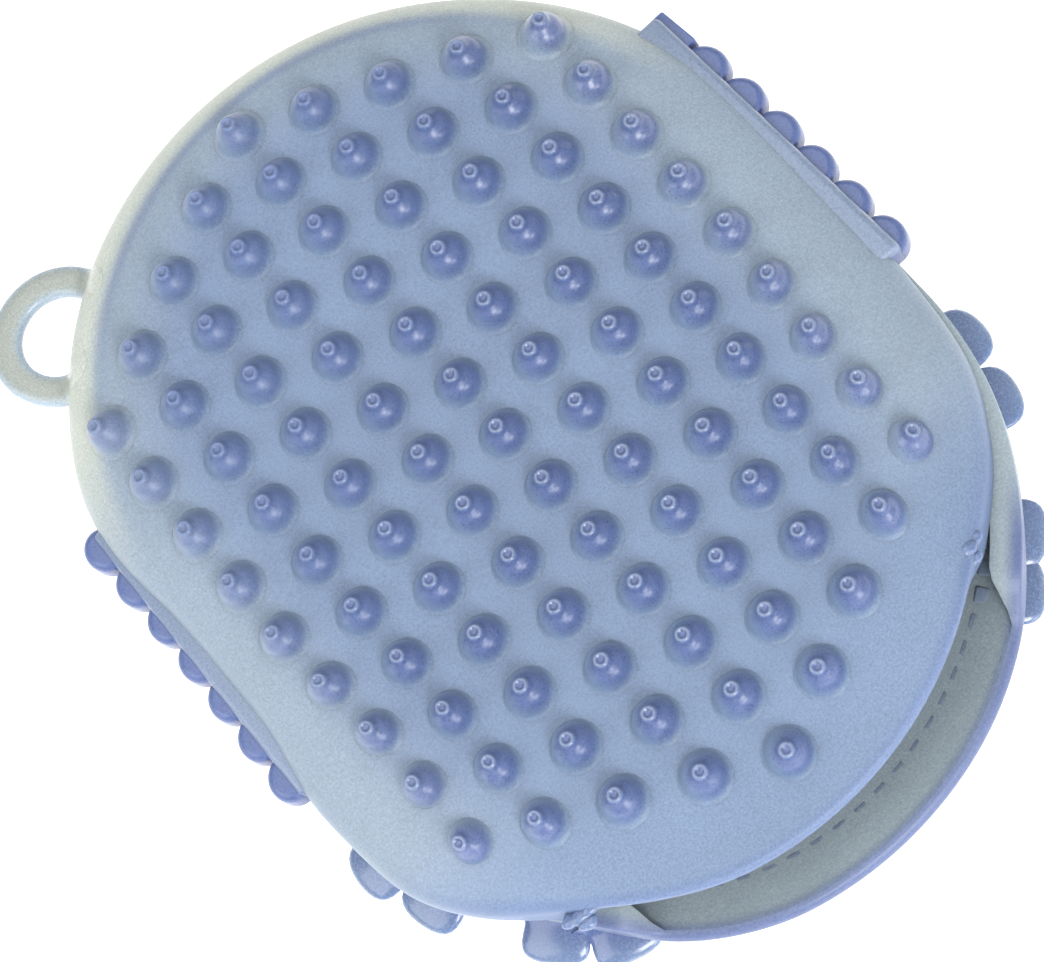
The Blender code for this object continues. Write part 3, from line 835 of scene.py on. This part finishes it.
# ---------------------------------------------------------------- hanging loop
def hanging_loop(material):
    """A flat band with rounded edges, bent into a ring whose inner side is buried in the rim."""
    joint = JOINTS["hanging_loop_flex"]
    hinge = Vector(joint["pos_m"])
    out = Vector((hinge.x, hinge.y - CLOSED_ARC_Y, 0)).normalized()
    low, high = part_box("hanging_loop")
    half = (high.z - low.z) / 2
    centre = Vector((0, CLOSED_ARC_Y, PARTING_Z)) + out * (END_RADIUS + LOOP_CENTRE_OUT)
    centre += LOOP_SHIFT
    bm = bmesh.new()
    shape = Matrix.Diagonal((LOOP_BAND / 2, 1, half, 1))
    tilt = Matrix.Rotation(math.pi / 2, 4, "X")
    made = bmesh.ops.create_circle(bm, segments=20, radius=1.0, matrix=shape @ tilt)
    for vert in made["verts"]:
        flat = abs(vert.co.z / half)
        vert.co.z = math.copysign(half * min(1.0, flat ** 0.6), vert.co.z)
        vert.co.x += LOOP_RADIUS - LOOP_BAND / 2
    edges = list(bm.edges)
    spin = {"cent": (0, 0, 0), "axis": (0, 0, 1), "angle": 2 * math.pi, "steps": LOOP_STEPS}
    bmesh.ops.spin(bm, geom=list(bm.verts) + edges, use_merge=True, **spin)
    bmesh.ops.remove_doubles(bm, verts=bm.verts, dist=0.005 * MM)
    edge_highlight_layer = bm.verts.layers.float.new("band_edge_highlight")
    rim_layer = bm.verts.layers.float.new("on_rim")
    # Marks the band's rounded edges, where the highlight is painted.
    for vert in bm.verts:
        off = abs(math.hypot(vert.co.x, vert.co.y) - (LOOP_RADIUS - LOOP_BAND / 2)) / (LOOP_BAND / 2)
        vert[edge_highlight_layer] = smooth(0.45, 0.95, off)
    turn = Matrix.Rotation(math.atan2(out.y, out.x), 4, "Z")
    bmesh.ops.transform(bm, matrix=Matrix.Translation(centre) @ turn, verts=bm.verts)
    for vert in bm.verts:
        inset = rim_distance(vert.co.x, vert.co.y, FRONT_ARC_Y)
        climb = smooth(-2.5 * MM, 0.5 * MM, inset) * smooth(8.5 * MM, 5 * MM, inset)
        lift = front_surface(vert.co.x, vert.co.y) + 0.35 * MM - (PARTING_Z + half)
        lift -= 0.8 * MM * smooth(2.5 * MM, 6 * MM, inset)
        vert.co.z += climb * max(0.0, lift)
        vert[rim_layer] = smooth(-2 * MM, 1.5 * MM, inset)
    bmesh.ops.recalc_face_normals(bm, faces=bm.faces)
    piece = finished("hanging_loop_band", bm, material, angle=70)
    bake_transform(piece)
    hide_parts("hanging_loop")
    return piece


# ---------------------------------------------------------------- grip cells and seam ends
def grip_cells(material):
    """Rows of small square cells round the mouth end of the pocket floor."""
    bm = bmesh.new()
    for row in range(GRIP_ROWS):
        radius = END_RADIUS - GRIP_INSET - GRIP_PITCH * row
        count = int(2 * GRIP_SPAN * radius / GRIP_PITCH)
        for number in range(count + 1):
            angle = -math.pi / 2 - GRIP_SPAN + 2 * GRIP_SPAN * number / count
            x, y = radius * math.cos(angle), FRONT_ARC_Y + radius * math.sin(angle)
            floor = back_surface(x, y) + SHEET
            before = len(bm.verts)
            bevelled_box(bm, (-GRIP_HALF, -GRIP_HALF, -0.4 * MM), (GRIP_HALF, GRIP_HALF, 0.45 * MM), 0.3 * MM)
            bm.verts.ensure_lookup_table()
            place = Matrix.Translation((x, y, floor)) @ Matrix.Rotation(angle, 4, "Z")
            bmesh.ops.transform(bm, matrix=place, verts=bm.verts[before:])
    bmesh.ops.recalc_face_normals(bm, faces=bm.faces)
    piece = finished("grip_cells", bm, material, "mitt")


def seam_ends(material):
    """Small glossy lumps of squeezed-out material where the weld ends at each side of the mouth."""
    for side, label in ((1, "right"), (-1, "left")):
        bm = bmesh.new()
        lumps = ((0.0, 0.0, -0.2, 2.0), (1.7, 0.8, -0.4, 1.7), (0.3, -1.6, -0.3, 1.5), (-1.6, -0.4, -0.3, 1.4))
        middle = Vector((41.2, LIP_Y / MM + (3.0 if side == 1 else 0.2), 0))
        for x, y, z, size in lumps:
            centre = Vector((side * (middle.x + x), middle.y + y, 0)) * MM
            centre.z = front_surface(centre.x, centre.y) + (z - 0.9) * MM
            shape = Matrix.Diagonal((size * 1.2 * MM, size * 0.7 * MM, size * 0.5 * MM, 1))
            made = bmesh.ops.create_icosphere(
                bm, subdivisions=3, radius=1.0, matrix=Matrix.Translation(centre) @ shape
            )
            for vert in made["verts"]:
                away = (vert.co - centre).normalized()
                vert.co += away * 0.35 * MM * noise.noise(vert.co * 700)
        bmesh.ops.recalc_face_normals(bm, faces=bm.faces)
        piece = finished(label + "_seam_end", bm, material, "mitt", angle=80, flex=front_flex)


# ---------------------------------------------------------------- stage, light and camera
def stage():
    bm = bmesh.new()
    bmesh.ops.create_grid(bm, x_segments=2, y_segments=2, size=3.0)
    mesh = bpy.data.meshes.new("floor")
    bm.to_mesh(mesh)
    bm.free()
    floor = bpy.data.objects.new("floor", mesh)
    bpy.context.scene.collection.objects.link(floor)
    material = bpy.data.materials.new("floor_white")
    material.use_nodes = True
    shader = material.node_tree.nodes["Principled BSDF"]
    shader.inputs["Base Color"].default_value = (0.93, 0.93, 0.93, 1)
    shader.inputs["Roughness"].default_value = 0.9
    shader.inputs["Emission Color"].default_value = (1, 1, 1, 1)
    shader.inputs["Emission Strength"].default_value = 0.6
    mesh.materials.append(material)


def softbox(name, direction, distance, size, power, aim):
    data = bpy.data.lights.new(name, "AREA")
    data.shape = "RECTANGLE"
    data.size, data.size_y = size
    data.energy = power
    lamp = bpy.data.objects.new(name, data)
    bpy.context.scene.collection.objects.link(lamp)
    way = Vector(direction).normalized()
    lamp.location = aim + way * distance
    lamp.rotation_mode = "QUATERNION"
    lamp.rotation_quaternion = way.to_track_quat("Z", "Y")


def lights():
    aim = Vector((0, 0, FRONT_Z))
    softbox("key", (-0.1, -0.95, 0.8), 1.1, (0.5, 0.4), 10.5, aim)
    softbox("rim", (0.2, -1.0, 0.28), 1.0, (0.5, 0.12), 3.0, aim)
    softbox("fill", (-0.9, 0.1, 0.8), 1.3, (0.9, 0.9), 8.6, aim)
    softbox("top", (0.1, 0.3, 1.0), 1.3, (1.2, 1.2), 9.0, aim)
    world = bpy.data.worlds.new("studio")
    world.use_nodes = True
    world.node_tree.nodes["Background"].inputs["Color"].default_value = (1.0, 1.0, 1.0, 1)
    world.node_tree.nodes["Background"].inputs["Strength"].default_value = 0.55
    bpy.context.scene.world = world
    bpy.context.scene.view_settings.view_transform = "Standard"


def camera():
    data = bpy.data.cameras.new("camera")
    data.lens = CAMERA_LENS
    data.sensor_width = 36.0
    data.clip_start, data.clip_end = 0.05, 20.0
    eye = bpy.data.objects.new("camera", data)
    bpy.context.scene.collection.objects.link(eye)
    flat = math.sin(CAMERA_TILT)
    back = Vector((flat * math.sin(CAMERA_SWING), -flat * math.cos(CAMERA_SWING), math.cos(CAMERA_TILT)))
    north = (Vector((0, 1, 0)) - back * back.y).normalized()
    east = north.cross(back)
    right = east * math.cos(CAMERA_ROLL) + north * math.sin(CAMERA_ROLL)
    up = back.cross(right)
    aim = Vector((0, NUB_FIELD_Y, FRONT_Z)) + right * 2.55 * MM - up * 7.4 * MM
    turn = Matrix((right, up, back)).transposed().to_4x4()
    eye.matrix_world = Matrix.Translation(aim + back * CAMERA_DISTANCE) @ turn
    bpy.context.scene.camera = eye


# ---------------------------------------------------------------- the mitt
camera()
front_material = front_jelly()
front = welded_half("front_sheet", True, front_material)
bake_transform(front)
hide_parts("fine_nub_half", "mouth_lip")
nubs = fine_nubs(front_material)
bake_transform(nubs)
back = welded_half("back_sheet", False, back_jelly())
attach(back, "mitt")
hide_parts("coarse_half")
finger_material = finger_jelly()
for body in BODIES:
    if body.startswith("coarse_finger") or "paddle" in body:
        finger(body, finger_material)
comb_material = comb_jelly()
for body in ("right_comb_strip", "left_comb_strip"):
    comb(body, comb_material)
hanging_loop(loop_jelly())
grip_cells(cell_jelly())
seam_ends(lump_jelly())
stage()
lights()
